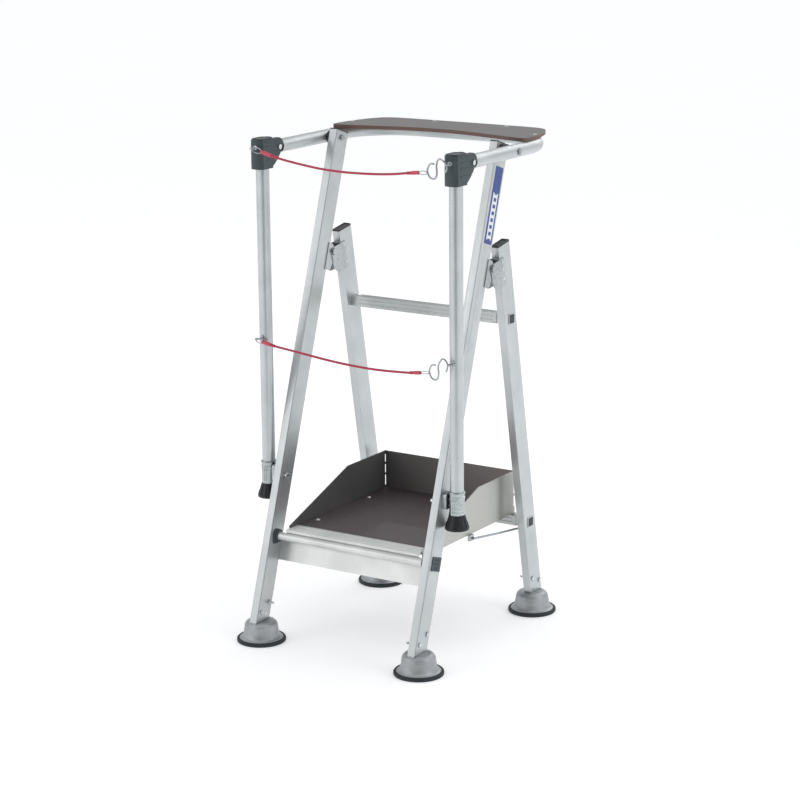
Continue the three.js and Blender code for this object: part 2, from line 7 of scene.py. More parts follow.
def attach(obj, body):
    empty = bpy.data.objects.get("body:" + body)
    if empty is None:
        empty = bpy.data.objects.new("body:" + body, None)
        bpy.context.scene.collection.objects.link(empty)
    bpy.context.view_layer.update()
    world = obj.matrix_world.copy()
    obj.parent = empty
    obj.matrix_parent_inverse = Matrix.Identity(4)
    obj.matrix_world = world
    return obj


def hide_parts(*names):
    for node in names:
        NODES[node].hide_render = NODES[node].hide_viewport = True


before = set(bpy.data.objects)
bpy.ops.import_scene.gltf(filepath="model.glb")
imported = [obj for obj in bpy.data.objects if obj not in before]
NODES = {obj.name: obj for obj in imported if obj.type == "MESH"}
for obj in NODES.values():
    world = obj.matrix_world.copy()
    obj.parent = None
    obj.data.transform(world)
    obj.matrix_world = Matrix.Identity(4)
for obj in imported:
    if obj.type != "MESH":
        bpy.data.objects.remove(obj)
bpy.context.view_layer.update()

MM = 0.001
SIDES = (("left", -1), ("right", 1))

# Sizes that the pieces below share with the CAD, in mm. A pair is a place as (Y, Z).
BEAM_IN, BEAM_OUT = 268.6, 293.6  # faces of the stiles and rear legs, along X
STILE_FOOT_Y, LEG_FOOT_Y = -396.7, 315.3  # front edge of each beam, carried down to the floor
STILE_LEAN, LEG_LEAN = 18.15, -10.3  # degrees to the rear
RAIL_X, TUBE_R = 333.3, 20
RAIL_BOLT = (119, 1472)
HINGE = (63.3, 1131)
PLUG_ALONG, PLUG_DEPTH = 342.1, 37.3  # pivot plug, up the stile and behind its front
RUNGS = {"lower": (296.3, 300), "upper": (177.3, 961)}
RUNG_HALF = 16.3
FLARE = 2.3  # how far a rung's flared end stands out of its leg
DECK_TOP, NOSING_TOP = 335.8, 336
SHELF_TOP = 1503.5
POST_Y = -201.6
TIP_BOTTOM = 412.5  # floor side of the post's rubber tip
ELBOW_HALF = 22.5

CAMERA_ANGLES = (32.79, 13.92, -0.51)
CAMERA_PLACE = (3.7918, -5.869, 2.444)
CAMERA_LENS, CAMERA_SENSOR = 107.74, 36


def camera():
    """Camera from azimuth, elevation and roll in degrees, and its place in metres."""
    azimuth, elevation, roll = (math.radians(a) for a in CAMERA_ANGLES)
    back = Vector((
        math.sin(azimuth) * math.cos(elevation),
        -math.cos(azimuth) * math.cos(elevation),
        math.sin(elevation),
    ))
    right = Vector((math.cos(azimuth), math.sin(azimuth), 0))
    up = back.cross(right)
    turned_right = math.cos(roll) * right + math.sin(roll) * up
    turned_up = math.cos(roll) * up - math.sin(roll) * right
    data = bpy.data.cameras.new("camera")
    data.sensor_width = CAMERA_SENSOR
    data.lens = CAMERA_LENS
    data.clip_end = 200
    obj = bpy.data.objects.new("camera", data)
    bpy.context.scene.collection.objects.link(obj)
    turn = Matrix((turned_right, turned_up, back)).transposed().to_4x4()
    obj.matrix_world = Matrix.Translation(CAMERA_PLACE) @ turn
    bpy.context.scene.camera = obj


camera()


# ---- materials ----

# Sockets of a Mix node that is set to colour.
MIX_A, MIX_B, MIX_RESULT = 6, 7, 2


class Paint:
    """A material under construction, with short ways to add nodes to it."""

    def __init__(self, name, slot, **values):
        self.material = bpy.data.materials.new(name)
        self.material.use_nodes = True
        self.tree = self.material.node_tree
        self.shader = self.tree.nodes["Principled BSDF"]
        self.slot = slot
        for socket, value in values.items():
            self.shader.inputs[socket.replace("_", " ")].default_value = value
        self.place = self.node("ShaderNodeTexCoord").outputs["Object"]

    def node(self, kind, links=None, values=None, **settings):
        made = self.tree.nodes.new(kind)
        for key, value in settings.items():
            setattr(made, key, value)
        for key, value in (values or {}).items():
            made.inputs[key].default_value = value
        for key, source in (links or {}).items():
            self.tree.links.new(source, made.inputs[key])
        return made

    def mapped(self, scale, turn=(0, 0, 0)):
        """Object coordinates turned by degrees, then scaled."""
        turned = self.node(
            "ShaderNodeVectorRotate", {"Vector": self.place},
            {"Rotation": [math.radians(a) for a in turn]}, rotation_type="EULER_XYZ",
        )
        return self.node(
            "ShaderNodeVectorMath", {0: turned.outputs[0]}, {1: scale}, operation="MULTIPLY",
        ).outputs[0]

    def noise(self, vector, scale=1.0, detail=3.0, rough=0.55):
        return self.node(
            "ShaderNodeTexNoise", {"Vector": vector},
            {"Scale": scale, "Detail": detail, "Roughness": rough},
        ).outputs["Fac"]

    def span(self, value, low, high, to_low, to_high):
        return self.node(
            "ShaderNodeMapRange", {"Value": value},
            {"From Min": low, "From Max": high, "To Min": to_low, "To Max": to_high},
        ).outputs[0]

    def mix(self, factor, a, b):
        """Colour from a to b; each is a colour or a socket."""
        made = self.node("ShaderNodeMix", {"Factor": factor}, data_type="RGBA")
        for socket, value in ((made.inputs[MIX_A], a), (made.inputs[MIX_B], b)):
            if hasattr(value, "is_output"):
                self.tree.links.new(value, socket)
            else:
                socket.default_value = (*value, 1)
        return made.outputs[MIX_RESULT]

    def maths(self, operation, a, b=0.0):
        made = self.node("ShaderNodeMath", operation=operation)
        for socket, value in zip(made.inputs, (a, b)):
            if hasattr(value, "is_output"):
                self.tree.links.new(value, socket)
            else:
                socket.default_value = value
        return made.outputs[0]

    def axis(self, index):
        return self.node("ShaderNodeSeparateXYZ", {"Vector": self.place}).outputs[index]

    def colour(self, source):
        self.tree.links.new(source, self.shader.inputs["Base Color"])

    def roughness(self, source):
        self.tree.links.new(source, self.shader.inputs["Roughness"])

    def bump(self, height, distance, strength=1.0):
        made = self.node(
            "ShaderNodeBump", {"Height": height}, {"Distance": distance, "Strength": strength},
        )
        self.tree.links.new(made.outputs[0], self.shader.inputs["Normal"])


def metal(name, slot, light, dark, rough, grain, turn=(0, 0, 0), wear=(0.5, 0.1), metallic=1.0,
          seam=None):
    """Metal with fine lines drawn along one direction, soft blotches and small dull marks.
    seam is where a dark rolled line runs along a leaning beam: its Y once turned, in metres."""
    paint = Paint(name, slot, Metallic=metallic)
    lines = paint.noise(paint.mapped(grain, turn), 1.0, 4.0)
    blotch = paint.noise(paint.place, 9.0, 3.0)
    marks = paint.noise(paint.place, 140.0, 2.0)
    tone = paint.maths("MULTIPLY_ADD", lines, wear[0])
    paint.tree.links.new(blotch, tone.node.inputs[2])
    shade = paint.mix(paint.span(tone, 0.45, 1.05, 0.0, 1.0), dark, light)
    if seam is not None:
        depth = paint.node(
            "ShaderNodeSeparateXYZ", {"Vector": paint.mapped((1, 1, 1), turn)},
        ).outputs[1]
        away = paint.maths("ABSOLUTE", paint.maths("SUBTRACT", depth, seam))
        shade = paint.mix(paint.span(away, 0.0006, 0.0014, 0.75, 0.0), shade, (0.10, 0.11, 0.115))
    paint.colour(shade)
    dull = paint.maths("ADD", paint.span(lines, 0.3, 0.7, *rough),
                       paint.span(marks, 0.6, 0.78, 0.0, wear[1]))
    paint.roughness(dull)
    paint.bump(lines, 0.00012, 0.35)
    return paint


def moulded(name, slot, light, dark, rough, grain=900.0):
    """Moulded plastic or rubber with a fine eroded grain and slightly rubbed patches."""
    paint = Paint(name, slot)
    patch = paint.noise(paint.place, 22.0, 4.0)
    fine = paint.noise(paint.place, grain, 2.0)
    paint.colour(paint.mix(paint.span(patch, 0.35, 0.7, 0.0, 1.0), dark, light))
    paint.roughness(paint.span(patch, 0.3, 0.7, *rough))
    paint.bump(fine, 0.00012, 0.5)
    return paint


# Painted reflection: a darker band across the outer faces of the side toe boards, in metres.
REFLECTION_BAND_Y, REFLECTION_BAND_HALF = 0.212, 0.03


def sheet_metal(name, axis, edge, rough):
    """Toe board: dark film inside the tray with painted shade and sheen across it, plain aluminium
    outside with a darker band of painted reflection.
    edge is where the film ends, in metres along X (axis 0, both ways) or Y (axis 1)."""
    paint = Paint(name, "aluminium")
    lines = paint.noise(paint.mapped((3.0, 3.0, 500.0)), 1.0, 4.0)
    blotch = paint.noise(paint.place, 7.0, 4.0)
    # Painted shade and sheen: the film is dark at the left of the tray and grows lighter to the
    # right.
    along = paint.span(paint.axis(0), -0.24, 0.24, 0.0, 1.0)
    film = paint.mix(along, (0.095, 0.093, 0.092), (0.36, 0.32, 0.305))
    film = paint.mix(paint.span(blotch, 0.3, 0.75, 0.0, 0.3), film, (0.17, 0.16, 0.155))
    bare_with_reflection = paint.mix(paint.span(lines, 0.3, 0.7, 0.0, 1.0),
                     (0.47, 0.47, 0.445), (0.53, 0.53, 0.50))
    # Painted reflection: a darker band across the outer faces of the side boards.
    away = paint.maths("ABSOLUTE", paint.maths("SUBTRACT", paint.axis(1), REFLECTION_BAND_Y))
    bare_with_reflection = paint.mix(paint.span(away, 0.0, REFLECTION_BAND_HALF, 0.6, 0.0), bare_with_reflection, (0.16, 0.165, 0.16))
    place = paint.axis(axis)
    if axis == 0:
        place = paint.maths("ABSOLUTE", place)
    outside = paint.span(place, edge - 0.0002, edge + 0.0002, 0.0, 1.0)
    paint.colour(paint.mix(outside, film, bare_with_reflection))
    paint.tree.links.new(paint.span(outside, 0.0, 1.0, 0.08, 0.6), paint.shader.inputs["Metallic"])
    paint.roughness(paint.span(lines, 0.3, 0.7, *rough))
    paint.bump(lines, 0.0001, 0.3)
    return paint


def tread_film():
    """Dark phenolic film with a fine raised wire-mesh grip."""
    paint = Paint("tread_film", "tread", Coat_Weight=0.12)
    cells = paint.node(
        "ShaderNodeTexVoronoi", {"Vector": paint.place}, {"Scale": 320.0},
        feature="DISTANCE_TO_EDGE",
    ).outputs["Distance"]
    grip = paint.span(cells, 0.02, 0.12, 1.0, 0.0)
    patch = paint.noise(paint.place, 6.0, 5.0)
    speck = paint.noise(paint.place, 420.0, 2.0)
    tone = paint.mix(paint.span(patch, 0.3, 0.72, 0.0, 1.0),
                     (0.056, 0.041, 0.044), (0.080, 0.062, 0.066))
    paint.colour(paint.mix(paint.span(speck, 0.5, 0.8, 0.0, 0.5), tone, (0.072, 0.060, 0.060)))
    paint.roughness(paint.span(patch, 0.3, 0.7, 0.42, 0.6))
    paint.bump(grip, 0.0003, 0.6)
    return paint


def shelf_film():
    """Film-faced plywood: grey-brown face, dark brown sealed edge with its plies."""
    paint = Paint("shelf_film", "timber")
    height = paint.axis(2)
    patch = paint.noise(paint.mapped((14.0, 5.0, 5.0)), 1.0, 5.0)
    speck = paint.noise(paint.place, 380.0, 3.0)
    face = paint.mix(paint.span(patch, 0.3, 0.7, 0.0, 1.0),
                     (0.15, 0.137, 0.138), (0.20, 0.187, 0.188))
    face = paint.mix(paint.span(speck, 0.5, 0.75, 0.0, 0.35), face, (0.13, 0.115, 0.11))
    plies = paint.node(
        "ShaderNodeTexWave", {"Vector": paint.mapped((0.02, 0.02, 1.0))},
        {"Scale": 150.0, "Distortion": 1.2, "Detail": 2.0}, bands_direction="Z",
    ).outputs["Fac"]
    side = paint.mix(paint.span(plies, 0.2, 0.8, 0.0, 1.0),
                     (0.085, 0.042, 0.032), (0.20, 0.115, 0.095))
    top = SHELF_TOP * MM
    paint.colour(paint.mix(paint.span(height, top - 0.0012, top - 0.0004, 0.0, 1.0), side, face))
    paint.roughness(paint.span(patch, 0.3, 0.7, 0.45, 0.62))
    paint.bump(speck, 0.0002, 0.4)
    return paint


def cord_jacket(name, light, dark, rough):
    """Clear red jacket over twisted wire: slanting strands show through it."""
    paint = Paint(name, "cord", Coat_Weight=0.2, Coat_Roughness=0.2)
    strands = paint.node(
        "ShaderNodeTexWave", {"Vector": paint.mapped((1.0, 1.0, 1.6), (0, 35, 0))},
        {"Scale": 170.0, "Distortion": 0.6, "Detail": 1.0}, bands_direction="X",
    ).outputs["Fac"]
    patch = paint.noise(paint.place, 60.0, 3.0)
    shade = paint.maths("MULTIPLY", strands, patch)
    paint.colour(paint.mix(paint.span(shade, 0.05, 0.55, 0.0, 1.0), dark, light))
    paint.roughness(paint.span(patch, 0.3, 0.7, *rough))
    paint.bump(strands, 0.0002, 0.5)
    return paint


# The label's extent up and across the stile's face, in metres along the stile's own directions.
LABEL_UP, LABEL_ACROSS = (1.1596, 1.3876), (-0.362, -0.319)
# Parts of it that the pale panel and the bars take, as shares of that extent.
PANEL_UP, PANEL_ACROSS, BARS_ACROSS = (0.055, 0.66), (0.2, 0.84), (0.36, 0.70)


def label_print():
    """Generic printed label: blue, with a pale panel that carries short bars, no words."""
    paint = Paint("label_print", "aluminium", Coat_Weight=0.1)
    turned = paint.mapped((1, 1, 1), (STILE_LEAN, 0, 0))
    split = paint.node("ShaderNodeSeparateXYZ", {"Vector": turned})
    up = paint.span(split.outputs[2], *LABEL_UP, 0.0, 1.0)
    across = paint.span(split.outputs[1], *LABEL_ACROSS, 0.0, 1.0)

    def inside(value, low, high):
        above = paint.maths("GREATER_THAN", value, low)
        return paint.maths("MULTIPLY", above, paint.maths("LESS_THAN", value, high))

    panel = paint.maths("MULTIPLY", inside(up, *PANEL_UP), inside(across, *PANEL_ACROSS))
    stripes = paint.node(
        "ShaderNodeTexWave", {"Vector": turned}, {"Scale": 15.7}, bands_direction="Z",
    ).outputs["Fac"]
    dark_bands = paint.maths("GREATER_THAN", stripes, 0.45)
    bars = paint.maths("MULTIPLY", dark_bands, inside(across, *BARS_ACROSS))
    pale_part = paint.maths("MULTIPLY", panel, paint.maths("SUBTRACT", 1.0, bars))
    fade = paint.noise(paint.place, 40.0, 3.0)
    blue = paint.mix(fade, (0.010, 0.034, 0.20), (0.022, 0.065, 0.32))
    pale = paint.mix(fade, (0.72, 0.74, 0.80), (0.82, 0.83, 0.87))
    paint.colour(paint.mix(pale_part, blue, pale))
    paint.roughness(paint.span(fade, 0.3, 0.7, 0.25, 0.4))
    return paint


LIGHT, DARK = (0.60, 0.622, 0.625), (0.475, 0.50, 0.505)
STILE_SEAM = -0.3744  # close behind the stile's front face
# Where the dark film of the toe boards ends: X of the side ones, Y of the rear one, in metres.
SIDE_FILM_END, REAR_FILM_END = 0.2365, 0.2953
STILE_METAL = metal("stile_metal", "aluminium", LIGHT, DARK, (0.30, 0.44),
                    (420, 420, 2.5), (STILE_LEAN, 0, 0), metallic=0.72, seam=STILE_SEAM)
LEG_METAL = metal("leg_metal", "aluminium", LIGHT, DARK, (0.26, 0.40),
                  (420, 420, 2.5), (LEG_LEAN, 0, 0), metallic=0.8)
CROSS_METAL = metal("cross_metal", "aluminium", (0.80, 0.81, 0.795), (0.60, 0.61, 0.60),
                    (0.32, 0.46), (2.5, 420, 420), metallic=0.7)
RUNG_METAL = metal("rung_metal", "aluminium", (0.58, 0.60, 0.60), (0.42, 0.44, 0.44),
                   (0.32, 0.46), (2.5, 420, 420), metallic=0.85)
POST_METAL = metal("post_metal", "tube", (0.62, 0.645, 0.65), (0.49, 0.52, 0.525),
                   (0.30, 0.42), (500, 500, 2.0), metallic=0.85)
RAIL_METAL = metal("rail_metal", "tube", (0.60, 0.625, 0.63), (0.47, 0.50, 0.505),
                   (0.36, 0.50), (40, 60, 420), metallic=0.7)
ZINC = metal("zinc_plate", "zinc", (0.48, 0.505, 0.515), (0.25, 0.28, 0.29), (0.22, 0.38),
             (90, 90, 90), wear=(0.9, 0.15))
BRIGHT = metal("bright_zinc", "zinc", (0.46, 0.49, 0.51), (0.20, 0.24, 0.26), (0.18, 0.32),
               (160, 160, 160), wear=(0.7, 0.1))
COLLAR = metal("collar_zinc", "zinc", (0.50, 0.54, 0.54), (0.17, 0.20, 0.20), (0.16, 0.32),
               (60, 60, 160), wear=(0.9, 0.2))
STEEL = metal("plain_steel", "zinc", (0.80, 0.82, 0.84), (0.46, 0.49, 0.51), (0.16, 0.30),
              (160, 160, 160), wear=(0.7, 0.1))
SLATE = moulded("slate_plastic", "slate_plastic", (0.050, 0.068, 0.078), (0.034, 0.050, 0.058),
                (0.40, 0.55))
BLACK = moulded("black_plastic", "black_plastic", (0.022, 0.024, 0.026), (0.010, 0.012, 0.013),
                (0.35, 0.5))
RUBBER = moulded("rubber", "rubber", (0.020, 0.028, 0.034), (0.010, 0.015, 0.019),
                 (0.5, 0.72), 500.0)
TIP = moulded("tip_rubber", "rubber", (0.009, 0.013, 0.016), (0.004, 0.006, 0.008),
              (0.32, 0.5), 500.0)
TREAD, SHELF = tread_film(), shelf_film()
TOE_SIDE = sheet_metal("toe_side_metal", 0, SIDE_FILM_END, (0.32, 0.48))
TOE_REAR = sheet_metal("toe_rear_metal", 1, REAR_FILM_END, (0.30, 0.46))
CORD = cord_jacket("cord_jacket", (0.60, 0.012, 0.075), (0.32, 0.004, 0.032), (0.3, 0.45))
SLEEVE = cord_jacket("cord_sleeve", (0.68, 0.085, 0.14), (0.50, 0.03, 0.07), (0.3, 0.42))
LABEL = label_print()


def cast_metal():
    """Sand-cast aluminium: pitted, with turning lines and a duller skin."""
    paint = Paint("cast_metal", "casting", Metallic=0.85)
    pits = paint.noise(paint.place, 420.0, 5.0, 0.7)
    patch = paint.noise(paint.place, 30.0, 5.0)
    rings = paint.noise(paint.mapped((6.0, 6.0, 420.0)), 1.0, 3.0)
    tone = paint.mix(paint.span(patch, 0.3, 0.72, 0.0, 1.0),
                     (0.31, 0.322, 0.337), (0.45, 0.462, 0.48))
    paint.colour(paint.mix(paint.span(rings, 0.35, 0.75, 0.0, 0.5), tone, (0.56, 0.57, 0.585)))
    paint.roughness(paint.span(pits, 0.3, 0.7, 0.38, 0.6))
    paint.bump(paint.maths("ADD", pits, rings), 0.0004, 0.5)
    return paint


CAST = cast_metal()


# ---- mesh helpers: a shape is (vertices in mm, faces) ----

def axes_for(direction):
    """Two unit vectors square to direction, so that a, b, direction are right-handed."""
    n = Vector(direction).normalized()
    other = Vector((1, 0, 0)) if abs(n.x) < 0.8 else Vector((0, 1, 0))
    a = n.cross(other).normalized()
    return a, n.cross(a), n


def lathe(profile, centre, direction, sides=32, flute=0, depth=0.0):
    """Turned shape from [(radius, height), ...]; flute cuts that many grooves into its skin."""
    a, b, n = axes_for(direction)
    centre = Vector(centre)
    vertices, rings = [], []
    for radius, height in profile:
        start = len(vertices)
        if radius < 1e-6:
            vertices.append(centre + n * height)
            rings.append([start] * sides)
            continue
        for i in range(sides):
            angle = 2 * math.pi * i / sides
            r = radius - (depth if flute and (i * flute * 2 // sides) % 2 else 0)
            vertices.append(centre + n * height + r * (a * math.cos(angle) + b * math.sin(angle)))
        rings.append(list(range(start, start + sides)))
    faces = []
    for low, high in zip(rings, rings[1:]):
        for i in range(sides):
            j = (i + 1) % sides
            face = []
            for v in (low[i], low[j], high[j], high[i]):
                if v not in face:
                    face.append(v)
            if len(face) > 2:
                faces.append(face)
    return vertices, faces


def tube(points, radius, sides=12, closed=False):
    """Round tube along points, with flat ends unless it closes on itself."""
    points = [Vector(p) for p in points]
    count = len(points)
    tangents = []
    for i in range(count):
        after = points[(i + 1) % count] if closed or i + 1 < count else points[i]
        before = points[i - 1] if closed or i > 0 else points[i]
        tangents.append((after - before).normalized())
    a, _, _ = axes_for(tangents[0])
    vertices, faces = [], []
    for point, tangent in zip(points, tangents):
        a = (a - tangent * a.dot(tangent)).normalized()
        b = tangent.cross(a)
        for k in range(sides):
            angle = 2 * math.pi * k / sides
            vertices.append(point + radius * (a * math.cos(angle) + b * math.sin(angle)))
    for i in range(count if closed else count - 1):
        low, high = i * sides, ((i + 1) % count) * sides
        for k in range(sides):
            j = (k + 1) % sides
            faces.append([low + k, low + j, high + j, high + k])
    if not closed:
        faces.append(list(range(sides))[::-1])
        faces.append(list(range((count - 1) * sides, count * sides)))
    return vertices, faces


def prism(outline, origin, u, v, depth):
    """Outline [(along u, along v), ...] at origin, pushed out by depth along u x v."""
    u, v = Vector(u), Vector(v)
    n = u.cross(v)
    origin = Vector(origin)
    flat = [origin + u * p + v * q for p, q in outline]
    count = len(flat)
    vertices = flat + [p + n * depth for p in flat]
    faces = [list(range(count))[::-1], list(range(count, 2 * count))]
    for i in range(count):
        j = (i + 1) % count
        faces.append([i, j, count + j, count + i])
    return vertices, faces


def curve(points, count):
    """Smooth line through points, with count points on each stretch."""
    points = [Vector(p) for p in points]
    ends = [2 * points[0] - points[1], *points, 2 * points[-1] - points[-2]]
    line = []
    for i in range(1, len(ends) - 2):
        p0, p1, p2, p3 = ends[i - 1:i + 3]
        for k in range(count):
            t = k / count
            line.append(0.5 * (
                2 * p1 + (p2 - p0) * t + (2 * p0 - 5 * p1 + 4 * p2 - p3) * t ** 2
                + (3 * p1 - p0 - 3 * p2 + p3) * t ** 3
            ))
    return [*line, points[-1]]


def ring(centre, u, v, ru, rv):
    """Points of an ellipse in the plane of u and v."""
    centre, u, v = Vector(centre), Vector(u).normalized(), Vector(v).normalized()
    count = 28
    angles = [2 * math.pi * i / count for i in range(count)]
    return [centre + u * ru * math.cos(a) + v * rv * math.sin(a) for a in angles]


def rounded(half_u, half_v, radius):
    """Outline of a rectangle with round corners."""
    points = []
    steps = 4
    for corner, (su, sv) in enumerate(((1, 1), (-1, 1), (-1, -1), (1, -1))):
        for i in range(steps + 1):
            angle = math.radians(90 * corner + 90 * i / steps)
            points.append((
                su * (half_u - radius) + radius * math.cos(angle),
                sv * (half_v - radius) + radius * math.sin(angle),
            ))
    return points


def soften(obj, width, angle=35):
    """Small rounding on the edges sharper than angle, width in mm."""
    bevel = obj.modifiers.new("edge", "BEVEL")
    bevel.width = width * MM
    bevel.segments = 2
    bevel.limit_method = "ANGLE"
    bevel.angle_limit = math.radians(angle)
    bevel.use_clamp_overlap = True


def piece(name, body, paint, *shapes, bevel=0.0, sharp=40):
    """One mesh object from shapes, riding on body, with the paint's material."""
    vertices, faces = [], []
    for more, polygons in shapes:
        start = len(vertices)
        vertices += [v * MM for v in more]
        faces += [[start + i for i in polygon] for polygon in polygons]
    mesh = bpy.data.meshes.new(name)
    mesh.from_pydata(vertices, [], faces)
    mesh.validate()
    mesh.materials.append(paint.material)
    obj = bpy.data.objects.new(name, mesh)
    bpy.context.scene.collection.objects.link(obj)
    mesh.polygons.foreach_set("use_smooth", [True] * len(mesh.polygons))
    mesh.set_sharp_from_angle(angle=math.radians(sharp))
    if bevel:
        soften(obj, bevel)
    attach(obj, body)
    return obj


# ---- cords ----

UPPER_Y, LOWER_Y = -247.7, -233.7
CORD_R, SLEEVE_R, HOOK_R, LOOP_R = 3.5, 5.8, 2.6, 1.5

UPPER_ROUTE = [
    (-303, 1471.4), (-243.2, 1457), (-165.6, 1445), (-95.8, 1437), (-40, 1433.8),
    (7.8, 1433.1), (60, 1434), (109.9, 1436.3), (160, 1440.5), (200.5, 1446), (240, 1450.3),
]
LOWER_ROUTE = [
    (-325, 899), (-278.6, 891.5), (-224.3, 885.5), (-116.8, 873.8),
    (-60, 868.5), (-10.9, 865.2), (45, 863), (93.5, 862.9), (150, 864.8), (196.3, 867.6),
    (233, 872),
]
UPPER_HOOK = [
    (290, 1478), (277, 1477), (268, 1458), (276, 1440), (292, 1437), (299, 1450), (298, 1475),
    (303, 1490), (311, 1493), (322, 1487), (330, 1477), (331, 1466), (327, 1457),
]
LOWER_HOOK = [
    (284, 900), (271, 899), (262, 881), (270, 861), (286, 858), (293, 872), (292, 898),
    (300, 915), (308, 921), (317, 916), (323, 906), (322, 894), (318, 884),
]


def in_plane(points, y):
    return [(x, y, z) for x, z in points]


def cord(name, route, y, loops):
    """Jacketed wire with a crimped sleeve at each end; loops are (centre, tip, half height)."""
    knots = in_plane(route, y)
    line = curve(knots, 4)
    wire = piece(f"{name}_wire", "left_post", CORD, tube(line, CORD_R, 14))
    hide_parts(name)
    ferrules, tails = [], []
    for end, inner in ((knots[0], knots[1]), (knots[-1], knots[-2])):
        end, inner = Vector(end), Vector(inner)
        step = end.lerp(inner, 0.6)
        ferrules.append(tube([end, end.lerp(inner, 0.3), step], SLEEVE_R - 0.2, 18))
        tails.append(tube([step, end.lerp(inner, 0.8), inner], SLEEVE_R - 1.2, 18))
    sleeves = piece(f"{name}_sleeves", "left_post", SLEEVE, *ferrules, bevel=1.2, sharp=60)
    collars = piece(f"{name}_sleeve_tails", "left_post", CORD, *tails, bevel=0.8, sharp=60)
    eyes = []
    for centre, tip, half in loops:
        centre, tip = (Vector((x, y, z)) for x, z in (centre, tip))
        away = tip - centre
        across = Vector((0, 1, 0)).cross(away)
        eyes.append(tube(ring(centre, away, across, away.length, half), LOOP_R, 8, True))
    loop = piece(f"{name}_loops", "left_post", BRIGHT, *eyes)


UPPER_LOOPS = (((-318.5, 1474.5), (-335, 1477), 8), ((253.5, 1450.8), (267, 1451.5), 5))
LOWER_LOOPS = (((-336, 902), (-348.5, 905), 7), ((247.5, 874), (262, 876), 3.6))
cord("cord_upper", UPPER_ROUTE, UPPER_Y, UPPER_LOOPS)
cord("cord_lower", LOWER_ROUTE, LOWER_Y, LOWER_LOOPS)

for name, knots, y in (("upper", UPPER_HOOK, UPPER_Y), ("lower", LOWER_HOOK, LOWER_Y)):
    bent = tube(curve(in_plane(knots, y), 5), HOOK_R, 12)
    hook = piece(f"s_hook_{name}_wire", "left_post", BRIGHT, bent)
    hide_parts(f"s_hook_{name}")


# How far in front of the post's middle the eye screws start: on the elbow and on the post.
ELBOW_FACE, POST_FACE = 32.7, 19.7


def eye_screw(name, body, root, eye, washer):
    """Screw out of root, with its ring lying level round eye."""
    root, eye = Vector(root), Vector(eye)
    out = (eye - root).normalized()
    reach = (eye - root).length
    piece(
        name, body, BRIGHT,
        lathe([(0, 0), (washer, 0), (washer - 0.6, 1.6), (3.4, 2.0), (2.0, 3.0), (2.0, reach - 5)],
              root, out, 20),
        tube(ring(eye, out, out.cross(Vector((0, 0, 1))), 6.5, 6.5), 1.8, 10, True),
    )


for side, s in SIDES:
    eye_screw(f"eye_screw_upper_{side}", f"{side}_post", (s * RAIL_X, POST_Y - ELBOW_FACE, 1480),
              (s * (RAIL_X + 1), UPPER_Y, 1479), 7.0)
    eye_screw(f"eye_screw_lower_{side}", f"{side}_post", (s * RAIL_X, POST_Y - POST_FACE, 908),
              (s * (RAIL_X + 8 * (s < 0)), LOWER_Y - 2, 907), 9.5)


# ---- CAD nodes that are kept, with better materials and soft edges ----

def dress(nodes, paint, bevel, angle=35):
    """The paint on each node, with edges softened by bevel in mm."""
    for node in nodes:
        obj = NODES[node]
        obj.data.materials.clear()
        obj.data.materials.append(paint.material)
        weld = obj.modifiers.new("weld", "WELD")
        weld.merge_threshold = 0.00002
        if bevel:
            soften(obj, bevel, angle)
        normals = obj.modifiers.new("normals", "WEIGHTED_NORMAL")
        normals.keep_sharp = True
        obj.data.polygons.foreach_set("use_smooth", [True] * len(obj.data.polygons))


def both(*names):
    return [f"{name}_{side}" for name in names for side, _ in SIDES]


dress(both("stile"), STILE_METAL, 1.2)
dress(both("rear_leg"), LEG_METAL, 1.2)
dress(["front_crossbar"], CROSS_METAL, 1.0)
dress(["rung_lower", "rung_upper"], RUNG_METAL, 1.0)
dress(["deck_nosing", "pivot_tube"], CROSS_METAL, 0.4)
dress(both("toe_board"), TOE_SIDE, 0.3)
dress(["toe_board_rear"], TOE_REAR, 0.3)
dress(["deck_panel"], TREAD, 0.6)
dress(["tool_shelf"], SHELF, 0.8, 50)
dress(["guard_rail"], RAIL_METAL, 0.6, 50)
dress(both("post"), POST_METAL, 0.6, 50)
dress(both("post_collar"), COLLAR, 0.4, 50)
dress(both("hinge_bracket_front", "hinge_bracket_rear", "post_bracket", "bail_clip"), ZINC, 0.4)
dress(both("elbow_pin"), STEEL, 0.5)
dress(both("rail_bolt"), BRIGHT, 0.5)
dress(both("hinge_pin"), ZINC, 0.5)
dress(["lock_bail"], ZINC, 0.0)
dress(both("foot_front", "foot_rear"), CAST, 0.9, 45)
dress(both("pad_front", "pad_rear"), RUBBER, 0.8, 45)
dress(both("elbow"), SLATE, 2.0, 45)
dress(both("pivot_plug"), SLATE, 0.6)
dress(both("stile_cap", "leg_cap", "rail_spacer", "rail_end"), BLACK, 0.6)


# ---- fittings drawn only here ----

def on_beam(foot_y, lean, along, depth):
    """Y and Z of a point on a leaning beam, from its length up the beam and its depth."""
    sin, cos = math.sin(math.radians(lean)), math.cos(math.radians(lean))
    return foot_y + along * sin + depth * cos, along * cos - depth * sin


WASHER, THREAD_STEP = 1.2, 0.7


def hex_head(name, body, place, s, radius, height, shank=0.0):
    """Hexagon head on a washer, facing s along X: radius is to its corners, and shank adds a
    threaded end."""
    out = (s, 0, 0)
    disc = radius * 1.35
    washer = lathe([(0, 0), (disc, 0), (disc, WASHER), (0, WASHER)], place, out, 24)
    piece(f"{name}_washer", body, BRIGHT, washer)
    top = height + 0.8
    head = [(0, WASHER), (radius, WASHER), (radius, height), (radius - 1, top), (0, top)]
    shapes = [lathe(head, place, out, 6)]
    if shank:
        turns = range(int(shank / THREAD_STEP))
        steps = [(3.6 if k % 2 else 3.1, height + k * THREAD_STEP) for k in turns]
        shapes.append(lathe([*steps, (0, height + shank)], place, out, 14))
    piece(name, body, STEEL, *shapes)


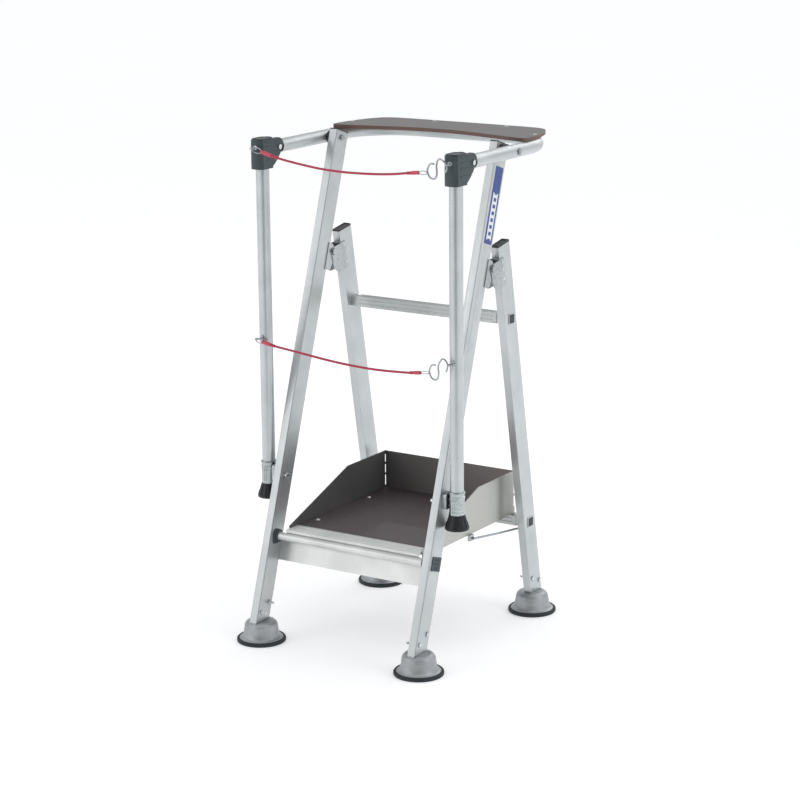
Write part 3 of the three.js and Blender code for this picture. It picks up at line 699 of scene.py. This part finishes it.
FOOT_BOLTS = {
    "front_frame": ((-305.7, 115), (-346.7, 94)),
    "rear_frame": ((311.3, 112), (355.3, 96)),
}
BOLT_R = 6.2
for body, places in FOOT_BOLTS.items():
    part = body.split("_")[0]
    for side, s in SIDES:
        for k, (y, z) in enumerate(places):
            outer, inner = (s * BEAM_OUT, y, z), (s * BEAM_IN, y, z)
            hex_head(f"foot_bolt_{part}_{side}_{k}", body, outer, s, BOLT_R, 3.6)
            hex_head(f"foot_nut_{part}_{side}_{k}", body, inner, -s, BOLT_R, 5.0, 13.0)

# Ends of the post bracket bolts on the inner faces of the stiles: a nut and a round head.
NUT_PLACE, HEAD_PLACE = (-217.7, 492), (-203, 489)
for side, s in SIDES:
    nut = [(0, 0), (5, 0), (5, 6), (4, 7), (0, 7)]
    head = [(0, 0), (6.4, 0), (6.4, 3), (4.4, 6), (0, 6.6)]
    piece(
        f"bracket_bolt_end_{side}", "front_frame", STEEL,
        lathe(nut, (s * (BEAM_IN - 6), *NUT_PLACE), (-s, 0, 0), 16),
        lathe(head, (s * BEAM_IN, *HEAD_PLACE), (-s, 0, 0), 16),
    )

# Washers under the heads of the rail bolts.
for side, s in SIDES:
    hole, edge = 5.2, 11.5
    piece(
        f"rail_washer_{side}", "front_frame", ZINC,
        lathe([(hole, 0), (edge, 0), (edge, WASHER), (hole, WASHER), (hole, 0)],
              (s * (RAIL_X + TUBE_R), *RAIL_BOLT), (s, 0, 0), 24),
    )

# Rivets on the flanges of the hinge brackets, by their place up the leg from the hinge.
RIVET = [(0, -0.2), (4.2, -0.2), (3.6, 1.3), (2.0, 2.2), (0, 2.5)]
RIVET_DEPTH, FLANGE = 12, 2.8
leg_sin, leg_cos = math.sin(math.radians(LEG_LEAN)), math.cos(math.radians(LEG_LEAN))
hinge_along = (HINGE[0] - LEG_FOOT_Y) * leg_sin + HINGE[1] * leg_cos
for side, s in SIDES:
    for k, along in enumerate((-52, -22, 2)):
        place = on_beam(LEG_FOOT_Y, LEG_LEAN, hinge_along + along, RIVET_DEPTH)
        piece(
            f"leg_rivet_{side}_{k}", "rear_frame", STEEL,
            lathe(RIVET, (s * (BEAM_OUT + FLANGE), *place), (s, 0, 0), 18),
            lathe(RIVET, (s * (BEAM_IN - FLANGE), *place), (-s, 0, 0), 18),
        )

# Raised ribs on the outer faces of the pivot plugs.
for side, s in SIDES:
    marks = []
    for shift in (-6.5, 6.5):
        for height in (-12, 0, 12):
            y, z = on_beam(STILE_FOOT_Y, STILE_LEAN, PLUG_ALONG + height, PLUG_DEPTH + shift)
            outline = [(s * p, q) for p, q in rounded(1.6, 3.6, 0.8)]
            marks.append(prism(outline, (s * (BEAM_OUT + 2.4), y, z), (0, s, 0), (0, 0, 1), 1.0))
    piece(f"plug_marks_{side}", "front_frame", BLACK, *marks)

# Black plugs in the ends of the rungs, and rolled ribs along their faces.
PLUG_HALF, RIB_R, RIB_END, RIB_LEAD = 13.2, 1.3, 238, 4
RUNG_RIBS = (
    (-RUNG_HALF, 6), (-RUNG_HALF, -6), (RUNG_HALF, 6), (RUNG_HALF, -6),
    (5, RUNG_HALF), (-5, RUNG_HALF),
)
for name, (y, z) in RUNGS.items():
    for side, s in SIDES:
        place = (s * (BEAM_OUT + FLARE - 0.4), y, z)
        outline = rounded(PLUG_HALF, PLUG_HALF, 2.5)
        piece(f"rung_plug_{name}_{side}", "rear_frame", BLACK,
              prism(outline, place, (0, s, 0), (0, 0, 1), 1.0), bevel=0.3)
    stops = (-RIB_END, RIB_LEAD - RIB_END, RIB_END - RIB_LEAD, RIB_END)
    ribs = [tube([(x, y + dy, z + dz) for x in stops], RIB_R, 10) for dy, dz in RUNG_RIBS]
    piece(f"rung_ribs_{name}", "rear_frame", RUNG_METAL, *ribs)

# Steps rolled along the nosing, as (Y, radius).
NOSING_HALF = 233.5
for k, (y, r) in enumerate(((-251, 1.0), (-240, 1.0), (-229, 1.0), (-214, 1.4))):
    line = [(x, y, NOSING_TOP) for x in (-NOSING_HALF, 0, NOSING_HALF)]
    piece(f"nosing_rib_{k}", "deck", CROSS_METAL, tube(line, r, 10))

# Screws with washers through the tread, and through the shelf into the rail.
TREAD_SCREW = [
    (0, 0), (10, 0), (9.4, 1.0), (6.2, 1.4), (5.6, 2.6), (2.2, 2.8), (2.0, 1.8), (0, 1.8),
]
SHELF_SCREW = [(0, 0), (6.5, 0), (5.6, 1.1), (2.6, 1.5), (2.2, 0.9), (0, 0.9)]
for k, (x, y) in enumerate(((-215, 164), (215, 164), (-215, -120), (215, -120))):
    screw = lathe(TREAD_SCREW, (x, y, DECK_TOP - 0.1), (0, 0, 1), 28)
    piece(f"tread_screw_{k}", "deck", STEEL, screw)
for k, (x, y) in enumerate(((-100, 381), (154, 384), (323, 262), (-323, 262))):
    screw = lathe(SHELF_SCREW, (x, y, SHELF_TOP - 0.1), (0, 0, 1), 20)
    piece(f"shelf_screw_{k}", "rail", STEEL, screw)

# Label on the outer face of the right stile.
LABEL_PLACE, LABEL_HALF = (73.2, 1316.3), (21.5, 114)
stile_sin, stile_cos = math.sin(math.radians(STILE_LEAN)), math.cos(math.radians(STILE_LEAN))
piece(
    "stile_label", "front_frame", LABEL,
    prism(rounded(*LABEL_HALF, 2), (BEAM_OUT + 0.05, *LABEL_PLACE),
          (0, stile_cos, -stile_sin), (0, stile_sin, stile_cos), 0.3),
)

# Ribs on the elbow's cheeks: height at the post, height at the free end, and Y of that end.
ELBOW_RIBS = (
    (1495.5, 1493.5, -134), (1480.5, 1479, -157), (1463, 1461, -138), (1441.5, 1440, -157),
)
RIB_WIDTH_HALF, RIB_START_Y = 1.5, POST_Y - 12
LID_HALF_X, LID_HALF_Y, LID_Z = 18, 25.5, 1500.5
STRAP_LOW, STRAP_HIGH = 457.8, 505


def elbow_ribs(side, s):
    ribs = []
    for front, rear, reach in ELBOW_RIBS:
        for cheek in (-1, 1):
            corners = (
                (RIB_START_Y, front - RIB_WIDTH_HALF), (reach, rear - RIB_WIDTH_HALF),
                (reach, rear + RIB_WIDTH_HALF), (RIB_START_Y, front + RIB_WIDTH_HALF),
            )
            outline = [(cheek * y, z) for y, z in corners]
            start = (s * RAIL_X + cheek * (ELBOW_HALF - 0.3), 0, 0)
            ribs.append(prism(outline, start, (0, cheek, 0), (0, 0, 1), 1.5))
    piece(f"elbow_ribs_{side}", f"{side}_post", SLATE, *ribs, bevel=0.5)


def elbow_lid(side, s):
    """Raised lid on the elbow: round in front and behind, straight at the sides."""
    circle = [(math.cos(a), math.sin(a)) for a in (math.radians(d) for d in range(0, 360, 15))]
    outline = [
        (LID_HALF_X * math.copysign(min(1, abs(x) * 1.45), x), LID_HALF_Y * y) for x, y in circle
    ]
    piece(f"elbow_lid_{side}", f"{side}_post", SLATE,
          prism(outline, (s * RAIL_X, POST_Y, LID_Z), (1, 0, 0), (0, 1, 0), 3.6), bevel=0.8)


def collar_rim(side, s):
    """Rolled rim and band round the post's collar, with two straps down its front."""
    middle, up = (s * RAIL_X, POST_Y), (0, 0, 1)

    def strap(left, right, out, thick):
        outline = [(left, STRAP_LOW), (right, STRAP_LOW), (right, STRAP_HIGH), (left, STRAP_HIGH)]
        return prism(outline, (s * RAIL_X, POST_Y - out, 0), (1, 0, 0), up, thick)

    rim = [(20.3, 0), (24.6, 0), (25.0, 2.0), (24.2, 3.6), (20.3, 3.6), (20.3, 0)]
    band = [(22.4, 0), (23.6, 0.6), (23.6, 9), (22.4, 9.8)]
    piece(
        f"collar_rim_{side}", f"{side}_post", COLLAR,
        lathe(rim, (*middle, 522), up, 36),
        lathe(band, (*middle, 503), up, 36),
        strap(-6, -1, 22.2, 1.2),
        strap(3, 6, 22.0, 0.9),
    )


def rubber_tip(side, s):
    """Flared tip with a plain foot, a fluted skirt and a plain neck."""
    foot = [(0, 0), (33.5, 0), (35.4, 1.2), (36, 4), (35.6, 7), (34.6, 10)]
    skirt = [(34.6, 10), (33.6, 15), (30.9, 21), (28.0, 29.5), (25.6, 37), (24.0, 42)]
    neck = [(24.0, 42), (23.4, 44.5), (20.4, 44.5)]
    place, up, sides = (s * RAIL_X, POST_Y, TIP_BOTTOM), (0, 0, 1), 96
    tip = piece(
        f"rubber_tip_{side}", f"{side}_post", TIP,
        lathe(foot, place, up, sides),
        lathe(skirt, place, up, sides, flute=12, depth=1.8),
        lathe(neck, place, up, sides),
        sharp=30,
    )
    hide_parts(f"post_tip_{side}")


for side, s in SIDES:
    elbow_ribs(side, s)
    elbow_lid(side, s)
    collar_rim(side, s)
    rubber_tip(side, s)


# ---- studio ----

# Lamps as (name, place in metres, size in metres, power in watts), aimed at AIM.
LAMPS = (
    ("key", (-3.4, -5.2, 2.8), 2.8, 36),
    ("fill", (4.6, 0.5, 3.2), 2.2, 30),
    ("rim", (0.5, 4.5, 3.6), 2.4, 35),
)
AIM = Vector((0, 0, 0.75))
DIM_WAY = Vector((0.35, -0.93, 0.15))  # the side of the sky that is dimmer, for reflections
FLOOR_REACH = 60
CARD_HALF, CARD_LOW, CARD_HIGH = 1.1, 0.02, 2.6
CARD_PLACE, CARD_TURN = (1.75, -3.3, 0), 30


def studio():
    """Pale floor, soft sky, three soft lamps and a grey card for reflections."""
    scene = bpy.context.scene
    scene.view_settings.view_transform = "Standard"
    world = bpy.data.worlds.new("studio")
    scene.world = world
    world.use_nodes = True
    nodes, links = world.node_tree.nodes, world.node_tree.links
    back = nodes["Background"]
    way = nodes.new("ShaderNodeTexCoord")
    dot = nodes.new("ShaderNodeVectorMath")
    dot.operation = "DOT_PRODUCT"
    dot.inputs[1].default_value = DIM_WAY.normalized()
    links.new(way.outputs["Generated"], dot.inputs[0])
    span = nodes.new("ShaderNodeMapRange")
    span.interpolation_type = "SMOOTHSTEP"
    span.inputs["From Min"].default_value = 0.55
    span.inputs["From Max"].default_value = 0.98
    span.inputs["To Min"].default_value = 0.78
    span.inputs["To Max"].default_value = 0.4
    links.new(dot.outputs["Value"], span.inputs["Value"])
    links.new(span.outputs[0], back.inputs["Strength"])
    back.inputs["Color"].default_value = (0.97, 0.985, 1.0, 1)

    floor_mesh = bpy.data.meshes.new("floor")
    corners = ((-1, -1), (1, -1), (1, 1), (-1, 1))
    floor_mesh.from_pydata([(x * FLOOR_REACH, y * FLOOR_REACH, 0) for x, y in corners],
                           [], [(0, 1, 2, 3)])
    floor = bpy.data.objects.new("floor", floor_mesh)
    scene.collection.objects.link(floor)
    pale = Paint("floor_paint", "floor", Roughness=0.9)
    pale.colour(pale.mix(pale.noise(pale.place, 0.5), (0.93, 0.935, 0.94), (0.95, 0.955, 0.96)))
    pale.shader.inputs["Emission Color"].default_value = (1, 1, 1, 1)
    pale.shader.inputs["Emission Strength"].default_value = 0.3
    floor_mesh.materials.append(pale.material)

    # A grey card by the camera that only reflections see: it shades the middle of bright tubes.
    card_mesh = bpy.data.meshes.new("card")
    card_mesh.from_pydata(
        [(-CARD_HALF, 0, CARD_LOW), (CARD_HALF, 0, CARD_LOW),
         (CARD_HALF, 0, CARD_HIGH), (-CARD_HALF, 0, CARD_HIGH)],
        [], [(0, 1, 2, 3)],
    )
    card = bpy.data.objects.new("card", card_mesh)
    scene.collection.objects.link(card)
    card.location = CARD_PLACE
    card.rotation_euler = (0, 0, math.radians(CARD_TURN))
    grey = Paint("card_paint", "card", Roughness=1.0)
    grey.colour(grey.mix(grey.noise(grey.place, 1.0), (0.12, 0.13, 0.13), (0.16, 0.17, 0.17)))
    card_mesh.materials.append(grey.material)
    card.visible_camera = card.visible_diffuse = card.visible_shadow = False

    for name, place, size, power in LAMPS:
        data = bpy.data.lights.new(name, "AREA")
        data.size = size
        data.energy = power
        lamp = bpy.data.objects.new(name, data)
        lamp.location = place
        lamp.rotation_euler = (AIM - Vector(place)).to_track_quat("-Z", "Y").to_euler()
        scene.collection.objects.link(lamp)


studio()
